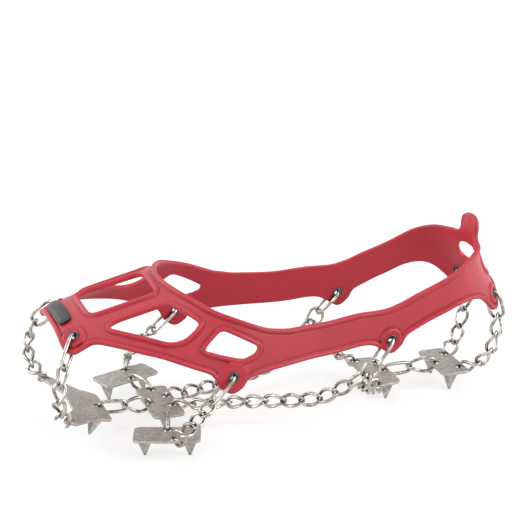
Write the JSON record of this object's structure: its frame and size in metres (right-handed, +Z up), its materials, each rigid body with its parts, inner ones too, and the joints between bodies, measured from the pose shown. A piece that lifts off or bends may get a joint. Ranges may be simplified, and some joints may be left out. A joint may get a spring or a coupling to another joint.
{
  "type": "shoe ice cleats",
  "caption": "Slip-on ice cleat: stretch elastomer harness with windows and heel tab, metal eyelets, twisted-link chains and under-foot spike plates for grip on ice.",
  "frame": {"origin": "on the floor at the spike tips, in the symmetry plane, halfway along the length", "axes": "+X from toe to heel, +Y to the wearer's right, +Z up"},
  "size_m": [0.2852, 0.1294, 0.108],
  "materials": {
    "red_elastomer": "satin moulded",
    "dark_elastomer": "matt moulded",
    "bright_steel": "polished wire",
    "eyelet_steel": "satin",
    "plate_steel": "satin stamped"
  },
  "bodies": {
    "harness": {"eyelet_ball_left": "eyelet_steel", "eyelet_ball_right": "eyelet_steel", "eyelet_rear_left": "eyelet_steel", "eyelet_rear_right": "eyelet_steel", "eyelet_side_left": "eyelet_steel", "eyelet_side_right": "eyelet_steel", "eyelet_toe_left": "eyelet_steel", "eyelet_toe_right": "eyelet_steel", "harness": "red_elastomer", "toe_patch": "dark_elastomer"},
    "eyelet_link_toe_left": {"eyelet_link_toe_left": "bright_steel"},
    "toe_chain_left_1": {"toe_chain_left_1": "bright_steel"},
    "toe_chain_left_2": {"toe_chain_left_2": "bright_steel"},
    "toe_chain_left_3": {"toe_chain_left_3": "bright_steel"},
    "toe_chain_left_4": {"toe_chain_left_4": "bright_steel"},
    "eyelet_link_ball_left": {"eyelet_link_ball_left": "bright_steel"},
    "ball_chain_left_1": {"ball_chain_left_1": "bright_steel"},
    "ball_chain_left_2": {"ball_chain_left_2": "bright_steel"},
    "ball_chain_left_3": {"ball_chain_left_3": "bright_steel"},
    "ball_chain_left_4": {"ball_chain_left_4": "bright_steel"},
    "eyelet_link_rear_left": {"eyelet_link_rear_left": "bright_steel"},
    "rear_chain_left_1": {"rear_chain_left_1": "bright_steel"},
    "rear_chain_left_2": {"rear_chain_left_2": "bright_steel"},
    "rear_chain_left_3": {"rear_chain_left_3": "bright_steel"},
    "rear_chain_left_4": {"rear_chain_left_4": "bright_steel"},
    "eyelet_link_side_left": {"eyelet_link_side_left": "bright_steel"},
    "junction_link_left": {"junction_link_left": "bright_steel"},
    "heel_chain_left": {"heel_chain_left": "bright_steel"},
    "arch_chain_left_1": {"arch_chain_left_1": "bright_steel"},
    "arch_chain_left_2": {"arch_chain_left_2": "bright_steel"},
    "tie_ball_left": {"tie_ball_left": "bright_steel"},
    "eyelet_link_toe_right": {"eyelet_link_toe_right": "bright_steel"},
    "toe_chain_right_1": {"toe_chain_right_1": "bright_steel"},
    "toe_chain_right_2": {"toe_chain_right_2": "bright_steel"},
    "toe_chain_right_3": {"toe_chain_right_3": "bright_steel"},
    "toe_chain_right_4": {"toe_chain_right_4": "bright_steel"},
    "eyelet_link_ball_right": {"eyelet_link_ball_right": "bright_steel"},
    "ball_chain_right_1": {"ball_chain_right_1": "bright_steel"},
    "ball_chain_right_2": {"ball_chain_right_2": "bright_steel"},
    "ball_chain_right_3": {"ball_chain_right_3": "bright_steel"},
    "ball_chain_right_4": {"ball_chain_right_4": "bright_steel"},
    "eyelet_link_rear_right": {"eyelet_link_rear_right": "bright_steel"},
    "rear_chain_right_1": {"rear_chain_right_1": "bright_steel"},
    "rear_chain_right_2": {"rear_chain_right_2": "bright_steel"},
    "rear_chain_right_3": {"rear_chain_right_3": "bright_steel"},
    "rear_chain_right_4": {"rear_chain_right_4": "bright_steel"},
    "eyelet_link_side_right": {"eyelet_link_side_right": "bright_steel"},
    "junction_link_right": {"junction_link_right": "bright_steel"},
    "heel_chain_right": {"heel_chain_right": "bright_steel"},
    "arch_chain_right_1": {"arch_chain_right_1": "bright_steel"},
    "arch_chain_right_2": {"arch_chain_right_2": "bright_steel"},
    "tie_ball_right": {"tie_ball_right": "bright_steel"},
    "tie_front": {"tie_front": "bright_steel"},
    "tie_heel": {"tie_heel": "bright_steel"},
    "plate_front": {"plate_front": "plate_steel"},
    "plate_ball_left": {"plate_ball_left": "plate_steel"},
    "plate_ball_right": {"plate_ball_right": "plate_steel"},
    "plate_ball_centre": {"plate_ball_centre": "plate_steel"},
    "plate_heel_front": {"plate_heel_front": "plate_steel"},
    "plate_heel_rear": {"plate_heel_rear": "plate_steel"}
  },
  "joints": [
    {"name": "swing_toe_left", "type": "hinge", "parent": "harness", "child": "eyelet_link_toe_left", "pos_m": [-0.12557, -0.02654, 0.07115], "axis": [-0.1306, -0.1308, -0.9828], "range_deg": [-8, 8]},
    {"name": "roll_toe_left_1", "type": "hinge", "parent": "eyelet_link_toe_left", "child": "toe_chain_left_1", "pos_m": [-0.13428, -0.0368, 0.0586], "axis": [-0.305, -0.3212, -0.8965], "range_deg": [-12, 12]},
    {"name": "roll_toe_left_2", "type": "hinge", "parent": "eyelet_link_toe_left", "child": "toe_chain_left_2", "pos_m": [-0.13728, -0.03996, 0.04977], "axis": [-0.1427, -0.0259, -0.9894], "range_deg": [-12, 12]},
    {"name": "roll_toe_left_3", "type": "hinge", "parent": "eyelet_link_toe_left", "child": "toe_chain_left_3", "pos_m": [-0.13869, -0.04022, 0.04005], "axis": [0.1661, 0.3103, -0.936], "range_deg": [-12, 12]},
    {"name": "roll_toe_left_4", "type": "hinge", "parent": "eyelet_link_toe_left", "child": "toe_chain_left_4", "pos_m": [-0.13708, -0.03722, 0.03101], "axis": [0.5298, 0.4447, -0.7222], "range_deg": [-10, 12]},
    {"name": "swing_ball_left", "type": "hinge", "parent": "harness", "child": "eyelet_link_ball_left", "pos_m": [-0.04336, -0.05578, 0.04766], "axis": [-0.6806, 0.0433, -0.7314], "range_deg": [-8, 1]},
    {"name": "roll_ball_left_1", "type": "hinge", "parent": "eyelet_link_ball_left", "child": "ball_chain_left_1", "pos_m": [-0.05618, -0.0586, 0.0354], "axis": [-0.7204, -0.2064, -0.6621], "range_deg": [-12, 12]},
    {"name": "roll_ball_left_2", "type": "hinge", "parent": "eyelet_link_ball_left", "child": "ball_chain_left_2", "pos_m": [-0.06216, -0.06031, 0.02991], "axis": [-0.6986, -0.0506, -0.7138], "range_deg": [-12, 12]},
    {"name": "roll_ball_left_3", "type": "hinge", "parent": "eyelet_link_ball_left", "child": "ball_chain_left_3", "pos_m": [-0.06795, -0.06073, 0.02399], "axis": [-0.7036, 0.1753, -0.6886], "range_deg": [-12, 12]},
    {"name": "roll_ball_left_4", "type": "hinge", "parent": "eyelet_link_ball_left", "child": "ball_chain_left_4", "pos_m": [-0.07375, -0.05929, 0.01832], "axis": [-0.2613, 0.68, -0.6851], "range_deg": [-12, 1]},
    {"name": "swing_rear_left", "type": "hinge", "parent": "harness", "child": "eyelet_link_rear_left", "pos_m": [0.13347, -0.02305, 0.06372], "axis": [-0.2399, 0.2079, -0.9483], "range_deg": [-8, 8]},
    {"name": "roll_rear_left_1", "type": "hinge", "parent": "eyelet_link_rear_left", "child": "rear_chain_left_1", "pos_m": [0.13902, -0.02096, 0.04803], "axis": [-0.1263, -0.1119, -0.9857], "range_deg": [-12, 12]},
    {"name": "roll_rear_left_2", "type": "hinge", "parent": "eyelet_link_rear_left", "child": "rear_chain_left_2", "pos_m": [0.13758, -0.02223, 0.0368], "axis": [-0.2379, 0.0718, -0.9686], "range_deg": [-12, 12]},
    {"name": "roll_rear_left_3", "type": "hinge", "parent": "eyelet_link_rear_left", "child": "rear_chain_left_3", "pos_m": [0.13487, -0.02142, 0.02579], "axis": [-0.4938, 0.3435, -0.7988], "range_deg": [-12, 12]},
    {"name": "roll_rear_left_4", "type": "hinge", "parent": "eyelet_link_rear_left", "child": "rear_chain_left_4", "pos_m": [0.12943, -0.01762, 0.01698], "axis": [-0.7776, 0.5046, -0.375], "range_deg": [-12, 12]},
    {"name": "swing_side_left", "type": "hinge", "parent": "harness", "child": "eyelet_link_side_left", "pos_m": [0.05847, -0.04191, 0.05108], "axis": [-0.6455, -0.1978, -0.7377], "range_deg": [-6, 6]},
    {"name": "roll_junction_left", "type": "hinge", "parent": "harness", "child": "junction_link_left", "pos_m": [0.04772, -0.0452, 0.0388], "axis": [-0.5767, 0.0678, -0.8141], "range_deg": [-12, 5]},
    {"name": "roll_heel_left", "type": "hinge", "parent": "harness", "child": "heel_chain_left", "pos_m": [0.04435, -0.04457, 0.03112], "axis": [0.478, 0.7057, -0.5229], "range_deg": [-12, 5]},
    {"name": "roll_arch_left_1", "type": "hinge", "parent": "harness", "child": "arch_chain_left_1", "pos_m": [0.04159, -0.04471, 0.03306], "axis": [-0.824, 0.4153, -0.3855], "range_deg": [-12, 12]},
    {"name": "roll_arch_left_2", "type": "hinge", "parent": "harness", "child": "arch_chain_left_2", "pos_m": [-0.00078, -0.02336, 0.01324], "axis": [-0.966, 0.2583, -0.0085], "range_deg": [-12, 12]},
    {"name": "roll_tie_ball_left", "type": "hinge", "parent": "harness", "child": "tie_ball_left", "pos_m": [-0.07609, -0.0378, 0.0127], "axis": [0.3111, 0.9504, 0], "range_deg": [-12, 12]},
    {"name": "swing_toe_right", "type": "hinge", "parent": "harness", "child": "eyelet_link_toe_right", "pos_m": [-0.12557, 0.02654, 0.07115], "axis": [-0.1306, 0.1308, -0.9828], "range_deg": [-8, 8]},
    {"name": "roll_toe_right_1", "type": "hinge", "parent": "eyelet_link_toe_right", "child": "toe_chain_right_1", "pos_m": [-0.13428, 0.0368, 0.0586], "axis": [-0.305, 0.3212, -0.8965], "range_deg": [-12, 12]},
    {"name": "roll_toe_right_2", "type": "hinge", "parent": "eyelet_link_toe_right", "child": "toe_chain_right_2", "pos_m": [-0.13728, 0.03996, 0.04977], "axis": [-0.1427, 0.0259, -0.9894], "range_deg": [-12, 12]},
    {"name": "roll_toe_right_3", "type": "hinge", "parent": "eyelet_link_toe_right", "child": "toe_chain_right_3", "pos_m": [-0.13869, 0.04022, 0.04005], "axis": [0.1661, -0.3103, -0.936], "range_deg": [-12, 12]},
    {"name": "roll_toe_right_4", "type": "hinge", "parent": "eyelet_link_toe_right", "child": "toe_chain_right_4", "pos_m": [-0.13708, 0.03722, 0.03101], "axis": [0.5298, -0.4447, -0.7222], "range_deg": [-12, 10]},
    {"name": "swing_ball_right", "type": "hinge", "parent": "harness", "child": "eyelet_link_ball_right", "pos_m": [-0.04336, 0.05578, 0.04766], "axis": [-0.6806, -0.0433, -0.7314], "range_deg": [-1, 8]},
    {"name": "roll_ball_right_1", "type": "hinge", "parent": "eyelet_link_ball_right", "child": "ball_chain_right_1", "pos_m": [-0.05618, 0.0586, 0.0354], "axis": [-0.7204, 0.2064, -0.6621], "range_deg": [-12, 12]},
    {"name": "roll_ball_right_2", "type": "hinge", "parent": "eyelet_link_ball_right", "child": "ball_chain_right_2", "pos_m": [-0.06216, 0.06031, 0.02991], "axis": [-0.6986, 0.0506, -0.7138], "range_deg": [-12, 12]},
    {"name": "roll_ball_right_3", "type": "hinge", "parent": "eyelet_link_ball_right", "child": "ball_chain_right_3", "pos_m": [-0.06795, 0.06073, 0.02399], "axis": [-0.7036, -0.1753, -0.6886], "range_deg": [-12, 12]},
    {"name": "roll_ball_right_4", "type": "hinge", "parent": "eyelet_link_ball_right", "child": "ball_chain_right_4", "pos_m": [-0.07375, 0.05929, 0.01832], "axis": [-0.2613, -0.68, -0.6851], "range_deg": [-1, 12]},
    {"name": "swing_rear_right", "type": "hinge", "parent": "harness", "child": "eyelet_link_rear_right", "pos_m": [0.13347, 0.02305, 0.06372], "axis": [-0.2399, -0.2079, -0.9483], "range_deg": [-8, 8]},
    {"name": "roll_rear_right_1", "type": "hinge", "parent": "eyelet_link_rear_right", "child": "rear_chain_right_1", "pos_m": [0.13902, 0.02096, 0.04803], "axis": [-0.1263, 0.1119, -0.9857], "range_deg": [-12, 12]},
    {"name": "roll_rear_right_2", "type": "hinge", "parent": "eyelet_link_rear_right", "child": "rear_chain_right_2", "pos_m": [0.13758, 0.02223, 0.0368], "axis": [-0.2379, -0.0718, -0.9686], "range_deg": [-12, 12]},
    {"name": "roll_rear_right_3", "type": "hinge", "parent": "eyelet_link_rear_right", "child": "rear_chain_right_3", "pos_m": [0.13487, 0.02142, 0.02579], "axis": [-0.4938, -0.3435, -0.7988], "range_deg": [-12, 12]},
    {"name": "roll_rear_right_4", "type": "hinge", "parent": "eyelet_link_rear_right", "child": "rear_chain_right_4", "pos_m": [0.12943, 0.01762, 0.01698], "axis": [-0.7776, -0.5046, -0.375], "range_deg": [-12, 12]},
    {"name": "swing_side_right", "type": "hinge", "parent": "harness", "child": "eyelet_link_side_right", "pos_m": [0.05847, 0.04191, 0.05108], "axis": [-0.6455, 0.1978, -0.7377], "range_deg": [-6, 6]},
    {"name": "roll_junction_right", "type": "hinge", "parent": "harness", "child": "junction_link_right", "pos_m": [0.04772, 0.0452, 0.0388], "axis": [-0.5767, -0.0678, -0.8141], "range_deg": [-5, 12]},
    {"name": "roll_heel_right", "type": "hinge", "parent": "harness", "child": "heel_chain_right", "pos_m": [0.04435, 0.04457, 0.03112], "axis": [0.478, -0.7057, -0.5229], "range_deg": [-5, 12]},
    {"name": "roll_arch_right_1", "type": "hinge", "parent": "harness", "child": "arch_chain_right_1", "pos_m": [0.04159, 0.04471, 0.03306], "axis": [-0.824, -0.4153, -0.3855], "range_deg": [-12, 12]},
    {"name": "roll_arch_right_2", "type": "hinge", "parent": "harness", "child": "arch_chain_right_2", "pos_m": [-0.00078, 0.02336, 0.01324], "axis": [-0.966, -0.2583, -0.0085], "range_deg": [-12, 12]},
    {"name": "roll_tie_ball_right", "type": "hinge", "parent": "harness", "child": "tie_ball_right", "pos_m": [-0.07609, 0.0378, 0.0127], "axis": [0.3111, -0.9504, 0], "range_deg": [-12, 12]},
    {"name": "roll_tie_front", "type": "hinge", "parent": "harness", "child": "tie_front", "pos_m": [-0.10531, 0, 0.01474], "axis": [0.9974, 0, -0.0715], "range_deg": [-12, 9]},
    {"name": "roll_tie_heel", "type": "hinge", "parent": "harness", "child": "tie_heel", "pos_m": [0.07412, 0, 0.0127], "axis": [1, 0, 0], "range_deg": [-12, 12]},
    {"name": "rock_plate_front", "type": "hinge", "parent": "harness", "child": "plate_front", "pos_m": [-0.11316, 0, 0.01744], "axis": [0, 1, 0], "range_deg": [-1, 5]},
    {"name": "rock_plate_ball_left", "type": "hinge", "parent": "harness", "child": "plate_ball_left", "pos_m": [-0.07946, -0.04764, 0.0127], "axis": [0.9455, -0.3256, 0], "range_deg": [-8, 1]},
    {"name": "rock_plate_ball_right", "type": "hinge", "parent": "harness", "child": "plate_ball_right", "pos_m": [-0.07946, 0.04764, 0.0127], "axis": [0.9455, 0.3256, 0], "range_deg": [-1, 8]},
    {"name": "rock_plate_ball_centre", "type": "hinge", "parent": "harness", "child": "plate_ball_centre", "pos_m": [-0.06968, 0, 0.0127], "axis": [0, 1, 0], "range_deg": [-8, 8]},
    {"name": "rock_plate_heel_front", "type": "hinge", "parent": "harness", "child": "plate_heel_front", "pos_m": [0.06732, 0, 0.0127], "axis": [0, 1, 0], "range_deg": [-8, 8]},
    {"name": "rock_plate_heel_rear", "type": "hinge", "parent": "harness", "child": "plate_heel_rear", "pos_m": [0.11382, 0, 0.0127], "axis": [0, 1, 0], "range_deg": [-8, 5]}
  ]
}
